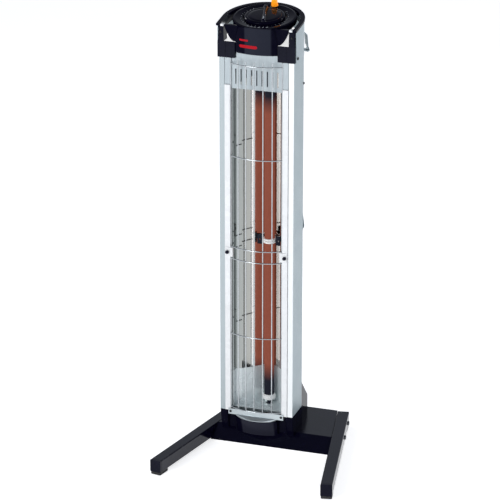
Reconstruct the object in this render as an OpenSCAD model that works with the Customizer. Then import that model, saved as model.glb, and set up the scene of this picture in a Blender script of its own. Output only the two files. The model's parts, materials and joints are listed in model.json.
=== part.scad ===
// Free-standing outdoor radiant heater: a tall wire-guarded column with one ceramic-coated
// heating tube, a black control head with a dial, and a low stand with two splayed legs.
// Origin: centre of the footprint on the ground. Front is -Y, up is +Z. Millimetres.

/* [Stand] */
// Distance of each leg's axis from the centre line, level with the column's front
leg_spread = 183; // [175:1:195]
// Angle between each leg and the front-back direction
leg_splay = 11.5; // [8:0.5:14]
// Length of leg in front of the column's front face
leg_front = 276; // [260:2:300]
// Length of leg behind the column's front face
leg_back = 203; // [203:1:225]
// Width of the leg tube
leg_w = 32; // [28:1:36]
// Height of the leg tube
leg_h = 34; // [30:1:36]
// Wall of the leg tube
leg_wall = 1.6; // [1.2:0.2:2.4]
// Height of the foot pads
foot_h = 8; // [7:0.5:10]
// Length of the foot pads
foot_len = 41; // [30:1:50]
// Depth of the base cover's sloped front
slope_depth = 44; // [36:1:50]

/* [Column] */
// Width of the column
col_w = 205; // [200:1:210]
// Depth of the column
col_d = 90; // [88:1:96]
// Sideways offset of the column from the stand's centre
col_x = -45; // [-50:1:-40]
// Height of the column's lower edge
col_z0 = 94; // [90:1:98]
// Height of the column's upper edge
col_z1 = 1094; // [1000:2:1120]
// Thickness of the sheet metal
sheet = 1.2; // [1:0.1:1.6]
// Width of each front edge of the casing
edge_w = 14; // [12:0.5:15]
// Width of each front rail
rail_w = 15; // [12:0.5:16]

/* [Heater] */
// Diameter of the heating tube
tube_d = 27; // [22:0.5:28]
// Sideways offset of the heating tube
tube_x = 16.5; // [14:0.5:18]
// Distance of the heating tube behind the column's front
tube_y = 62; // [58:0.5:62]
// Depth of the reflector trough
trough_d = 83; // [82:0.5:84]
// Height of the joint between the two reflector sheets
reflector_split = 205; // [190:1:240]

/* [Guard] */
// Half the width of the wire guard
guard_half = 70.6; // [68:0.2:70.6]
// How far the guard bows forward
guard_bow = 20; // [12:0.5:26]
// Diameter of the guard wires
wire_d = 3; // [2.4:0.2:3.4]
// Number of upright wires
wire_count = 7; // [5:2:9]

/* [Head] */
// Forward tilt of the head's top
head_tilt = 7.5; // [4:0.5:10]
// Height of the head's top at the column's front
head_z = 1184; // [1176:1:1190]
// Distance of the dial's centre behind the column's front
dial_y = 67; // [64:1:67]
// Radius of the dial
dial_r = 53.5; // [46:0.5:56]
// Turn of the dial's grip from straight ahead, in degrees
grip_angle = 18; // [0:1:40]
// Radius of the scale ring round the dial
ring_r = 82; // [80:0.5:82]
// Outer radius of the carrying band
band_r = 110; // [109:0.5:111]
// Width of the carrying band
band_w = 11; // [9:0.5:11]

/* [Controls] */
// Travel of the tip-over switch's plunger
plunger_travel = 8; // [4:0.5:8]
// Radius of the dial's shaft
shaft_r = 3; // [2.5:0.25:3.5]

/* [Hidden] */

BLACK = [0.06, 0.06, 0.08];
SILVER = [0.66, 0.70, 0.73];
WHITE = [0.92, 0.93, 0.94];
POLISHED = [0.80, 0.79, 0.76];
STEEL = [0.60, 0.62, 0.64];
CERAMIC = [0.95, 0.94, 0.92];
RED_COAT = [0.55, 0.30, 0.25];
AMBER = [1.0, 0.62, 0.08];
RUBBER = [0.10, 0.10, 0.11];

gap = 0.4;                                  // room between parts that only stand side by side
front_y = (leg_front - leg_back) / 2 * cos(leg_splay);
leg_z = foot_h + leg_h;                     // top of the legs and the base cover
col_h = col_z1 - col_z0;
half_w = col_w / 2;
wire_r = wire_d / 2;
wire_pitch = 2 * guard_half / (wire_count - 1);
bow_r = (pow(guard_half, 2) + pow(guard_bow, 2)) / (2 * guard_bow);
guard_rings = [col_z1 - 14, 825, 570, 537, 321, col_z0 + 11];
cover_front = -20;                          // front edge of the base cover, from the column's front
cover_back = 200;
cover_z0 = foot_h;
rail_x = half_w - edge_w - 1 - rail_w / 2;
switch_x = 60;                              // tip-over switch, from the stand's centre
switch_y = 150;
deck_z = col_z1 + 44;                       // top of the corner blocks and the deck
band_y = 52;                                // centre of the carrying band's half circle
lamp_x = 6;                                 // pilot lamp, in the dial's own frame
lamp_v = 66;

// ---- shared helpers ----

module at_column() { translate([col_x, front_y, 0]) children(); }

module mirrored_x() {
  children();
  mirror([1, 0, 0]) children();
}

// A leg's own frame: -Y runs forward along the leg, its origin level with the column's front
module at_leg(side) {
  translate([side * leg_spread, front_y, 0]) rotate([0, 0, side * leg_splay]) children();
}

module box(lo, hi) { translate(lo) cube(hi - lo); }

function top_z(y) = head_z + y * tan(head_tilt);

// Frame of the head's tilted top: origin on the dial's axis, in the top surface
module at_dial() {
  translate([0, dial_y, top_z(dial_y)]) rotate([head_tilt, 0, 0]) children();
}

module rounded_rect(w, d, r) {
  translate([r, 0]) square([w - 2 * r, d]);
  translate([0, r]) square([w, d - 2 * r]);
  for (x = [r, w - r]) for (y = [r, d - r]) translate([x, y]) circle(r, $fn = 48);
}

module pan_screw(r, h) {
  cylinder(r = r, h = h * 0.6, $fn = 32);
  translate([0, 0, h * 0.6]) cylinder(r1 = r, r2 = r * 0.7, h = h * 0.4, $fn = 32);
}

// ---- stand ----

module leg_section(inset) {
  difference() {
    translate([-leg_w / 2 + inset, 0]) rounded_rect(leg_w - 2 * inset, leg_h - 2 * inset, 2.5);
    translate([-leg_w / 2 + inset + leg_wall, leg_wall])
      square([leg_w - 2 * (inset + leg_wall), leg_h - 2 * (inset + leg_wall)]);
  }
}

// Places that bolts cross the legs, from the column's front along the base
bolt_rows = [66, 160];

module leg_bolt_holes(side, r) {
  for (y = bolt_rows)
    translate([side * leg_spread - side * y * tan(leg_splay), front_y + y, foot_h + leg_h / 2])
      rotate([0, 0, side * leg_splay]) rotate([0, 90, 0])
        cylinder(r = r, h = leg_w + 12, center = true, $fn = 32);
}

module leg(side) {
  color(BLACK) difference() {
    at_leg(side) translate([0, leg_back - 4, foot_h]) rotate([90, 0, 0])
      linear_extrude(leg_front + leg_back - 14) leg_section(0);
    leg_bolt_holes(side, 4.3);
  }
}

module left_leg() { leg(-1); }
module right_leg() { leg(1); }

// End plug: a head as large as the tube, and a tongue inside it
module leg_cap(len) {
  rotate([90, 0, 0]) {
    linear_extrude(len) translate([-leg_w / 2, 0]) rounded_rect(leg_w, leg_h, 2.5);
    translate([0, 0, -14]) linear_extrude(14)
      translate([-leg_w / 2 + leg_wall + gap, leg_wall + gap])
        square([leg_w - 2 * (leg_wall + gap), leg_h - 2 * (leg_wall + gap)]);
  }
}

module leg_front_cap(side) {
  color(BLACK) at_leg(side) translate([0, 10 - leg_front, foot_h]) leg_cap(10);
}

module leg_rear_cap(side) {
  color(BLACK) at_leg(side) translate([0, leg_back - 4, foot_h]) mirror([0, 1, 0]) leg_cap(4);
}

module left_leg_front_cap() { leg_front_cap(-1); }
module right_leg_front_cap() { leg_front_cap(1); }
module left_leg_rear_cap() { leg_rear_cap(-1); }
module right_leg_rear_cap() { leg_rear_cap(1); }

module foot(side, y0) {
  color(RUBBER) at_leg(side) translate([-leg_w / 2 + 1, y0, 0]) linear_extrude(foot_h)
    rounded_rect(leg_w - 2, foot_len, 3);
}

module left_front_foot() { foot(-1, -leg_front + 0.5); }
module right_front_foot() { foot(1, -leg_front + 0.5); }
module left_rear_foot() { foot(-1, leg_back - foot_len - 0.5); }
module right_rear_foot() { foot(1, leg_back - foot_len - 0.5); }

module leg_bolts() {
  color(STEEL) for (side = [-1, 1]) for (y = bolt_rows)
    translate([side * leg_spread - side * y * tan(leg_splay), front_y + y, foot_h + leg_h / 2])
      rotate([0, side * 90, side * leg_splay]) {
        translate([0, 0, -leg_w / 2 - 12]) cylinder(r = 4, h = leg_w + 12, $fn = 32);
        translate([0, 0, leg_w / 2]) cylinder(r = 6.5, h = 4, $fn = 6);
      }
}

// Everything between the legs' inner faces, drawn in by a clearance
module between_legs(inset, z0, z1, y0, y1) {
  function half_at(y) = leg_spread - y * tan(leg_splay) - leg_w / 2 / cos(leg_splay) - inset;
  translate([0, front_y, z0]) linear_extrude(z1 - z0)
    polygon([[-half_at(y0), y0], [half_at(y0), y0], [half_at(y1), y1], [-half_at(y1), y1]]);
}

end_inset = 2.3;                            // crossbars stop inside the base cover's end walls

module crossbar(y) {
  bar_w = 26;
  bar_z0 = foot_h + 4.5;
  bar_z1 = bar_z0 + 25;
  color(STEEL) difference() {
    between_legs(end_inset, bar_z0, bar_z1, y - bar_w / 2, y + bar_w / 2);
    translate([0, front_y + y, (bar_z0 + bar_z1) / 2]) cube([4 * leg_spread, bar_w - 4, 21], center = true);
  }
}

// Nut plates close the crossbar's ends, where the leg bolts screw in
module nut_plates(y) {
  bar_z0 = foot_h + 4.5;
  color(STEEL) difference() {
    intersection() {
      between_legs(end_inset, bar_z0 + 2, bar_z0 + 23, y - 11, y + 11);
      for (side = [-1, 1])
        translate([side * (leg_spread - y * tan(leg_splay) - leg_w / 2 - 6), front_y + y, 0])
          rotate([0, 0, side * leg_splay]) translate([-7, -30, 0]) cube([14, 60, 60]);
    }
    for (side = [-1, 1])
      translate([side * leg_spread - side * y * tan(leg_splay), front_y + y, foot_h + leg_h / 2])
        rotate([0, side * 90, side * leg_splay]) translate([0, 0, -leg_w / 2 - 16])
          cylinder(r = 4.05, h = 20, $fn = 32);
  }
}

module front_crossbar() {
  crossbar(bolt_rows[0]);
  nut_plates(bolt_rows[0]);
}

module rear_crossbar() {
  crossbar(bolt_rows[1]);
  nut_plates(bolt_rows[1]);
}

// Side profile of the base cover, drawn in by t
module cover_profile(t) {
  rise = leg_z - cover_z0;
  run = slope_depth;
  shift = t * sqrt(rise * rise + run * run) / rise;
  polygon([
    [cover_front + shift - t * run / rise, cover_z0 - (t > 0 ? 1 : 0)],
    [cover_front + run + shift - t * run / rise, leg_z - t],
    [cover_back - t, leg_z - t],
    [cover_back - t, cover_z0 - (t > 0 ? 1 : 0)]
  ]);
}

module cover_solid(t, inset) {
  intersection() {
    translate([-250, front_y, 0]) rotate([90, 0, 90]) linear_extrude(500) cover_profile(t);
    between_legs(inset, 0, 60, cover_front - 5, cover_back + 5);
  }
}

pedestal_w = 150;
pedestal_d = 56;
pedestal_y = 20;

module base_cover() {
  color(BLACK) difference() {
    cover_solid(0, 0.6);
    cover_solid(1.6, 2.2);
    at_column() box([-pedestal_w / 2 - 1, pedestal_y + 5, 30], [pedestal_w / 2 + 1, pedestal_y + pedestal_d + 1, 60]);
    leg_bolt_holes(-1, 4.3);
    leg_bolt_holes(1, 4.3);
  }
}

module base_bottom_plate() {
  color(STEEL) difference() {
    between_legs(4, foot_h + 1, foot_h + 2.6, cover_front + 8, cover_back - 4);
    translate([switch_x, switch_y, 0]) cylinder(r = 5, h = 30, $fn = 32);
    at_column() for (x = [-60, 60]) translate([x, 66, 0]) cylinder(r = 3, h = 30, $fn = 32);
  }
}

// Upright box bracket that carries the column above the crossbar
module pedestal() {
  z0 = foot_h + 29.7;
  color(STEEL) at_column() difference() {
    union() {
      box([-pedestal_w / 2, pedestal_y + 30, z0], [pedestal_w / 2, pedestal_y + pedestal_d, z0 + 2]);
      box([-pedestal_w / 2, pedestal_y + pedestal_d - 2, z0], [pedestal_w / 2, pedestal_y + pedestal_d, col_z0 - 0.1]);
      for (x = [-pedestal_w / 2, pedestal_w / 2 - 2])
        box([x, pedestal_y + 6, z0], [x + 2, pedestal_y + pedestal_d, col_z0 - 0.1]);
      box([-pedestal_w / 2, pedestal_y + 6, col_z0 - 2.1], [pedestal_w / 2, pedestal_y + pedestal_d, col_z0 - 0.1]);
    }
    for (x = [-60, 60]) translate([x, 66, 0]) cylinder(r = 3.3, h = 60, $fn = 32);
    translate([0, pedestal_y + 40, col_z0 - 10]) cylinder(r = 9, h = 20, $fn = 48);
    translate([0, pedestal_y + pedestal_d - 10, 66]) rotate([-90, 0, 0]) cylinder(r = 8, h = 20, $fn = 48);
  }
}

module pedestal_bolts() {
  z0 = foot_h + 31.7;
  color(STEEL) at_column() for (x = [-60, 60]) translate([x, 66, 0]) {
    translate([0, 0, z0]) cylinder(r = 5, h = 4, $fn = 6);
    translate([0, 0, z0 - 2.2]) cylinder(r = 2.9, h = 2.2, $fn = 32);
  }
}

// Moulded skirt between the column and the base: a tapered shell with a bowed middle panel
skirt_top_arc = 17;
skirt_low_arc = 7;
panel_half = 58;

module arc_slab(half, sagitta, depth, h) {
  r = (half * half + sagitta * sagitta) / (2 * sagitta);
  linear_extrude(h) intersection() {
    translate([0, r - sagitta]) circle(r, $fn = 96);
    translate([-half, -sagitta]) square([2 * half, sagitta + depth]);
  }
}

module skirt_body(t) {
  hull() {
    translate([0, 0, col_z0 - 1.4]) linear_extrude(1) translate([-half_w + t, 13 + t])
      square([col_w - 2 * t, col_d - 13 - 2 * t]);
    translate([0, 0, 20]) linear_extrude(1) translate([-half_w + t, 20 + t])
      square([col_w - 2 * t, col_d - 20 - 2 * t]);
  }
}

module skirt_panel(t) {
  hull() {
    translate([0, t, 75]) arc_slab(panel_half - t, skirt_top_arc, 30 - t, 1);
    translate([0, 14 + t, 20]) arc_slab(panel_half - t, skirt_low_arc, 16 - t, 1);
  }
}

module skirt_posts() {
  mirrored_x() hull() {
    translate([half_w - 20, 0.5, col_z0 - 1.4]) cube([20, 26, 1]);
    translate([half_w - 16, 8, 50]) cube([15, 20, 1]);
    translate([half_w - 19, 17, 20]) cube([19, 14, 1]);
  }
}

module skirt() {
  color(BLACK) difference() {
    at_column() difference() {
      union() {
        skirt_body(0);
        skirt_panel(0);
        skirt_posts();
      }
      skirt_body(2.4);
      skirt_panel(2.4);
      box([-half_w + 3, 22, 40], [half_w - 3, col_d - 3, col_z0 + 5]);
      box([-pedestal_w / 2 - 1, 14, col_z0 - 16], [pedestal_w / 2 + 1, 40, col_z0 + 5]);
    }
    cover_solid(-gap, -80);
    translate([-250, -200, -1]) cube([500, 480, cover_z0 + 1]);
  }
}

brace_half = 84;
brace_back = 196;

module brace_profile(t) {
  polygon([
    [col_d + 1 + t, leg_z + 0.3 - (t > 0 ? 5 : 0)],
    [brace_back - t, leg_z + 0.3 - (t > 0 ? 5 : 0)],
    [brace_back - t, leg_z + 39 - t * 0.4],
    [col_d + 1 + t, leg_z + 152 - t * 2.2]
  ]);
}

module rear_brace_cover() {
  color(BLACK) at_column() difference() {
    translate([-brace_half, 0, 0]) rotate([90, 0, 90]) linear_extrude(2 * brace_half) brace_profile(0);
    translate([-brace_half + 2, 0, 0]) rotate([90, 0, 90]) linear_extrude(2 * brace_half - 4) brace_profile(2);
    translate([-40, brace_back - 10, leg_z + 20]) rotate([-90, 0, 0]) cylinder(r = 8.1, h = 20, $fn = 48);
  }
}

// Gland where the supply lead enters
module cord_gland() {
  color(BLACK) at_column() translate([-40, brace_back, leg_z + 20]) rotate([-90, 0, 0])
    rotate_extrude($fn = 48) polygon([
      [4.2, -10], [8, -10], [8, 0.05], [11, 0.05], [11, 1.6], [7, 2.6], [6, 5.4], [4.2, 5.4]
    ]);
}

module tip_switch_housing() {
  z0 = foot_h + 2.6;
  color(CERAMIC) translate([switch_x, switch_y, 0]) difference() {
    box([-14, -9, z0], [14, 9, z0 + 22]);
    translate([0, 0, z0 - 1]) cylinder(r = 3.05, h = 19, $fn = 32);
    translate([0, 0, z0 - 1]) cylinder(r = 4.6, h = 3, $fn = 32);
  }
}

module tip_switch_plunger() {
  z0 = foot_h + 2.6;
  color(RUBBER) translate([switch_x, switch_y, 0]) {
    cylinder(r = 2.98, h = z0 + 7, $fn = 32);
  }
}

// ---- column ----

module casing_outline(t) {
  r = 7 - t;
  translate([-half_w + t, t]) difference() {
    square([col_w - 2 * t, col_d - 2 * t]);
    for (x = [0, col_w - 2 * t - r]) translate([x, col_d - 2 * t - r]) square(r + 0.001);
  }
  for (x = [-half_w + 7, half_w - 7]) translate([x, col_d - 7]) circle(r, $fn = 64);
}

module rear_casing() {
  color(SILVER) at_column() {
    difference() {
      translate([0, 0, col_z0]) linear_extrude(col_h) difference() {
        casing_outline(0);
        casing_outline(sheet);
        translate([-half_w + edge_w, -1]) square([col_w - 2 * edge_w, 10]);
      }
      translate([0, col_d - 10, col_z0 + 30]) rotate([-90, 0, 0]) cylinder(r = 8, h = 20, $fn = 48);
    }
    mirrored_x() translate([half_w - edge_w, 0, col_z0]) cube([sheet, 12, col_h]);
  }
}

module casing_floor() {
  color(SILVER) at_column() difference() {
    box([-half_w + sheet + gap, 16, col_z0 + 0.1], [half_w - sheet - gap, col_d - 8, col_z0 + 1.6]);
    translate([0, pedestal_y + 40, col_z0 - 10]) cylinder(r = 9, h = 20, $fn = 48);
  }
}

rail_front = -2.5;
clip_row = (guard_rings[2] + guard_rings[3]) / 2;

// Bright rail beside the guard: a channel open to the rear
module side_rail(side) {
  rail_top = col_z1 - 75;
  color(WHITE) at_column() difference() {
    translate([side * rail_x, 0, col_z0 + 0.5]) linear_extrude(rail_top - col_z0) difference() {
      translate([-rail_w / 2, rail_front]) square([rail_w, 14]);
      translate([-rail_w / 2 + sheet, rail_front + sheet]) square([rail_w - 2 * sheet, 20]);
    }
    translate([side * rail_x, 0, clip_row]) rotate([90, 0, 0])
      cylinder(r = 2.05, h = 30, center = true, $fn = 32);
  }
}

module left_side_rail() { side_rail(-1); }
module right_side_rail() { side_rail(1); }

// Cross-section of the reflector trough: lips, side walls, and two sloping facets that throw
// the tube's image towards the front on either side of a narrow back
lip_x = rail_x - rail_w / 2 - 1;
trough_left = [
  [-lip_x, 12], [-lip_x + 2, 14], [-68, 31], [-54, 37], [tube_x - 46, 54.4], [tube_x - 18.5, trough_d]
];
trough_right = [
  [tube_x + 13.5, trough_d], [tube_x + 32.6, 63.2], [60.5, 38.5], [lip_x - 2, 14], [lip_x, 12]
];
trough = concat(trough_left, trough_right);
trough_focus = [6, 20];

function inward(p, d) = p + d * (trough_focus - p) / norm(trough_focus - p);
function backwards(points) = [for (i = [len(points) - 1:-1:0]) points[i]];

module trough_section(thickness) {
  polygon(concat(trough, backwards([for (p = trough) inward(p, thickness)])));
}

module reflector() {
  color(POLISHED) at_column() translate([0, 0, reflector_split]) linear_extrude(col_z1 - reflector_split - 10)
    trough_section(1);
}

module lower_reflector() {
  color(POLISHED) at_column() {
    translate([0, 0, col_z0 + 8]) linear_extrude(reflector_split - col_z0 - 8 - gap) trough_section(1);
    difference() {
      translate([0, 0, col_z0 + 6.5]) linear_extrude(1.5) polygon(trough);
      translate([tube_x, tube_y, 0]) cylinder(r = 9.2, h = 300, $fn = 48);
    }
  }
}

slot_count = 9;
slot_pitch = 14.4;

// Slotted plate over the reflector's top, with side flanges that fill the rails' upper ends
module upper_deflector() {
  edge = rail_x - rail_w / 2;
  flange_z = col_z1 - 74;
  color(SILVER) at_column() difference() {
    union() {
      box([gap - edge, 2.5, col_z1 - 84], [edge - gap, 2.5 + sheet, col_z1 - 1]);
      box([-57, 2.5, col_z1 - 2], [57, 2.5 + sheet, col_z1 + 15.6]);
      mirrored_x() box([edge, 0, flange_z], [edge + rail_w, sheet, col_z1 - 1]);
      mirrored_x() box([edge, 0, flange_z], [edge + sheet, 2.5 + sheet, col_z1 - 1]);
      mirrored_x() box([edge - 1, 2.5, flange_z], [edge + sheet, 2.5 + sheet, col_z1 - 1]);
      box([3 - edge, 2.5, col_z1 - 84], [edge - 3, 11, col_z1 - 84 + sheet]);
    }
    for (i = [0:slot_count - 1])
      translate([(i - (slot_count - 1) / 2) * slot_pitch - 1.6, -5, col_z1 - 72]) cube([3.2, 20, 42]);
  }
}

module lower_apron() {
  color(SILVER) at_column() difference() {
    union() {
      box([-78, -5, col_z0 - 10], [78, -3.8, col_z0 + 6]);
      hull() {
        translate([0, -3.8, col_z0 - 10]) arc_slab(60, 4, 1.2, sheet);
        translate([0, -3.8, col_z0 - 17]) arc_slab(52, 17, 1.2, sheet);
      }
      mirrored_x() box([66, -5, col_z0 - 10], [78, 13, col_z0 - 10 + sheet]);
    }
    for (x = [-72, 72]) translate([x, -20, col_z0 - 2]) rotate([-90, 0, 0]) cylinder(r = 2, h = 30, $fn = 32);
  }
}

module trim_screws() {
  color(BLACK) at_column() {
    for (x = [-72, 72]) translate([x, -5, col_z0 - 2]) rotate([90, 0, 0]) {
      pan_screw(3.4, 2);
      translate([0, 0, -8]) cylinder(r = 1.9, h = 8, $fn = 32);
    }
    for (x = [-1, 1]) translate([x * half_w, 84, col_z1 - 78]) rotate([0, x * 90, 0]) pan_screw(3.4, 2.6);
  }
}

// ---- heater ----

tube_z0 = col_z0 + 26;
tube_z1 = col_z1 - 30;

module heater_tube() {
  color(RED_COAT) at_column() translate([tube_x, tube_y, 0]) {
    translate([0, 0, tube_z0]) cylinder(d = tube_d, h = tube_z1 - tube_z0, $fn = 96);
    translate([0, 0, tube_z0 - 22]) cylinder(r = 3, h = 24, $fn = 32);
    translate([0, 0, tube_z1]) cylinder(r = 3, h = 20, $fn = 32);
    for (z = [tube_z0 - 16, tube_z1 + 12]) translate([0, 0, z]) cylinder(r = 5.5, h = 4, $fn = 6);
  }
}

module tube_holder() {
  rotate_extrude($fn = 96) polygon([
    [3.2, 0], [9, 0], [9, 5], [17.5, 5], [17.5, 15], [14, 17.5], [tube_d / 2 + 0.3, 17.5],
    [tube_d / 2 + 0.3, 7.5], [3.2, 7.5]
  ]);
}

module lower_tube_holder() {
  color(CERAMIC) at_column() translate([tube_x, tube_y, tube_z0 - 8]) difference() {
    tube_holder();
    translate([-10, -10, -9]) cube([20, 20, 5]);
  }
}

module upper_tube_holder() {
  color(CERAMIC) at_column() translate([tube_x, tube_y, tube_z1 + 8]) mirror([0, 0, 1]) tube_holder();
}

clip_z = 576;

module tube_clip_ring() {
  color(CERAMIC) at_column() translate([tube_x, tube_y, clip_z]) for (z = [-6, 0.6])
    translate([0, 0, z]) rotate_extrude($fn = 96) polygon([
      [tube_d / 2 + 0.4, 0], [tube_d / 2 + 4, 0], [tube_d / 2 + 5, 1.5], [tube_d / 2 + 5, 4],
      [tube_d / 2 + 4, 5.4], [tube_d / 2 + 0.4, 5.4]
    ]);
}

module tube_clip_bracket() {
  r = tube_d / 2 + 5.4;
  color(BLACK) at_column() translate([tube_x, tube_y, clip_z - 13]) difference() {
    union() {
      translate([-r - 14, -5, 0]) cube([14, 1.6, 27]);
      translate([r, -5, 0]) cube([12, 1.6, 27]);
      translate([-r - 1.2, -5, 6]) cube([1.2, 22, 15]);
      translate([r, -5, 6]) cube([1.2, 16.5, 15]);
      translate([-r - 14, -5, 0]) cube([1.4, 5, 27]);
      translate([r + 10.6, -5, 0]) cube([1.4, 3, 27]);
    }
    for (x = [-r - 7, r + 7]) translate([x, 0, 13]) rotate([90, 0, 0]) cylinder(r = 1.8, h = 10, center = true, $fn = 32);
  }
}

// ---- guard ----

function bow_y(x) = bow_r - guard_bow - sqrt(bow_r * bow_r - x * x);

module guard() {
  wire_top = col_z1 - 2;
  wire_bottom = col_z0 + 8;
  arc = asin(guard_half / bow_r);
  ring_y = -1.8;
  weld = 0.25;
  color(STEEL) at_column() {
    for (i = [0:wire_count - 1]) {
      x = (i - (wire_count - 1) / 2) * wire_pitch;
      translate([x, ring_y + bow_y(x) + 2.2, wire_bottom])
        cylinder(r = wire_r, h = wire_top - wire_bottom, $fn = 24);
    }
    for (z = guard_rings)
      translate([0, ring_y + bow_r - guard_bow, z]) rotate([0, 0, -90 - arc])
        rotate_extrude(angle = 2 * arc, $fn = 160) translate([bow_r, 0]) circle(wire_r, $fn = 24);
    for (i = [1:5]) mirrored_x() translate([guard_half, ring_y, guard_rings[i]]) {
      sphere(wire_r + weld, $fn = 48);
      rotate([-90, 0, 0]) cylinder(r = wire_r - weld, h = 12, $fn = 24);
    }
  }
}

// Clips that hold the guard's outer wires to the rails
module guard_clips() {
  color(WHITE) at_column() mirrored_x() difference() {
    union() {
      box([guard_half - 5, rail_front - 1.7, clip_row - 13], [rail_x + 6, rail_front - 0.1, clip_row + 13]);
      box([guard_half - 5, rail_front - 1.7, clip_row - 13], [guard_half - 3.6, 4, clip_row + 13]);
    }
    translate([rail_x, 0, clip_row]) rotate([90, 0, 0])
      cylinder(r = 2.1, h = 30, center = true, $fn = 32);
  }
}

module guard_thumb_screws() {
  color(BLACK) at_column() for (side = [-1, 1])
    translate([side * rail_x, rail_front - 1.8, clip_row]) rotate([90, 0, 0]) {
      cylinder(r = 5, h = 5, $fn = 48);
      translate([0, 0, 5]) cylinder(r1 = 5, r2 = 3.6, h = 1.5, $fn = 48);
      translate([0, 0, -8]) cylinder(r = 2, h = 8, $fn = 32);
    }
}

// ---- head ----

block_in = 58.6;
block_out = half_w + 3.5;
post_in = half_w - 14;

// Front corner of the head: a block over the rail and a post up to the carrying band
module corner_block(side) {
  color(BLACK) at_column() scale([side, 1, 1]) difference() {
    union() {
      box([block_in, -4, col_z1], [block_out, 24, deck_z]);
      hull() {
        box([post_in, -4, deck_z - 1], [block_out - 1, 24, deck_z]);
        box([post_in + 1, -3.5, head_z - 7], [block_out - 2, 22, head_z - 6.6]);
      }
    }
    box([block_in + 3, 0, col_z1 - 1], [block_out - 3, 30, deck_z - 5]);
    box([block_in - 1, -2.8, deck_z - 2.1], [post_in, 30, deck_z + 5]);
    box([83.2, -4.5, col_z1 - 1], [84.2, -3, deck_z + 1]);
  }
}

module left_corner_block() { corner_block(-1); }
module right_corner_block() { corner_block(1); }

module head_plan(r, front) {
  intersection() {
    union() {
      translate([0, band_y]) circle(r, $fn = 128);
      translate([-r, -10]) square([2 * r, band_y + 10]);
    }
    translate([-200, front]) square([400, 400]);
  }
}

module head_deck() {
  color(WHITE) at_column() {
    translate([0, 0, deck_z - 1.6]) linear_extrude(1.6) difference() {
      head_plan(half_w - 0.5, 24.5);
      translate([-block_in, 20]) square([2 * block_in, 10]);
      translate([-26, 34]) square([52, 60]);
    }
    mirrored_x() box([block_in + 0.4, -2.4, deck_z - 1.6], [post_in - 0.4, 25, deck_z]);
    translate([0, 0, deck_z - 0.5]) linear_extrude(11) difference() {
      head_plan(half_w - 0.5, 27);
      head_plan(half_w - 1.7, 20);
    }
    mirrored_x() box([half_w - 12, 26, col_z1 + 0.3], [half_w - 8, 80, deck_z - 1.5]);
  }
}

// Half-round rear cover of the head, closed below where it overhangs the column
module rear_head_cover() {
  wall = 1.6;
  cover_r = half_w + 5.5;
  color(SILVER) at_column() difference() {
    translate([0, 0, col_z1]) linear_extrude(160) head_plan(cover_r, 2);
    translate([0, 0, col_z1 + wall]) linear_extrude(160) head_plan(cover_r - wall, 0);
    translate([-half_w - 0.3, 10, col_z1 - 1]) cube([col_w + 0.6, col_d - 9.7, 20]);
    box([-cover_r + wall, 0, col_z1 - 1], [cover_r - wall, 24.6, col_z1 + 20]);
    translate([-200, -100, top_z(-100) - 6]) rotate([head_tilt, 0, 0]) cube([400, 400, 200]);
  }
}

// Carrying band round the head's top
module under_top(depth) {
  intersection() {
    translate([0, 0, head_z - 50]) linear_extrude(110) children();
    translate([-200, -100, top_z(-100) - depth]) rotate([head_tilt, 0, 0]) cube([400, 400, depth]);
  }
}

module carry_handle() {
  inner_r = band_r - band_w;
  color(BLACK) at_column() {
    under_top(5.6) difference() {
      head_plan(band_r, -4);
      head_plan(inner_r, -10);
    }
    under_top(26) difference() {
      head_plan(inner_r + 2, 25);
      head_plan(inner_r, 20);
      translate([-66, band_y]) square([132, 120]);
    }
  }
}

base_z = col_z1 + 16;                       // lower edge of the control housing's front panel

module housing_slab(t, z, h, inset) {
  translate([0, -2 + t, z])
    arc_slab(58 - t - inset, 12 - (t + inset) / 2, 26 - 2 * t - inset, h);
}

module housing_solid(t) {
  step_z = deck_z + 2.5 + t * 0.4;
  housing_slab(t, base_z - t, step_z + 1 - base_z + t, 0.8);
  hull() {
    housing_slab(t, step_z, 1.5, 0);
    at_dial() translate([0, 0, -15 + t * 0.6]) cylinder(r = ring_r + 1.8 - t, h = 15, $fn = 96);
    if (t == 0) translate([0, -8.5, head_z - 4.5]) arc_slab(46, 7, 20, 1.5);
  }
}

// Shoulders that flare out from the front panel to the posts, above the open gaps
module shoulder_outline() {
  reach = post_in - 0.4 - 62;
  rise = head_z - 8 - deck_z;
  polygon(concat(
    [for (u = [0:0.1:1]) [62 + reach * u, deck_z + 0.5 + rise * pow(u, 1.7)]],
    [[post_in - 0.4, head_z - 2], [52, head_z - 2], [52, deck_z + 0.5]]
  ));
}

module shoulders() {
  mirrored_x() difference() {
    translate([0, 8, 0]) rotate([90, 0, 0]) linear_extrude(9) shoulder_outline();
    translate([0, 12, 0]) rotate([90, 0, 0]) linear_extrude(10.6) offset(delta = -2.4) shoulder_outline();
  }
}

// Bowl that carries the dial: a bowed front panel that widens into the round top
module control_housing() {
  color(BLACK) at_column() difference() {
    union() {
      housing_solid(0);
      shoulders();
    }
    housing_solid(2.6);
    at_dial() translate([0, 0, -8]) cylinder(r = ring_r + 0.3, h = 20, $fn = 128);
  }
}

// Scale ring: a shallow dished annulus with a floor that carries the switch
module scale_ring() {
  color(BLACK) at_column() at_dial() difference() {
    rotate_extrude($fn = 160) polygon([
      [5, -10.6], [ring_r - 2, -10.6], [ring_r - 2, -7.8], [ring_r, -7.8], [ring_r, 0],
      [ring_r - 3, 0.8], [dial_r + 4, -2.2], [dial_r + 2.5, -5.6], [5, -5.6]
    ]);
    translate([lamp_x, lamp_v, -20]) cylinder(r = 8.3, h = 40, $fn = 48);
  }
}

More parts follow.
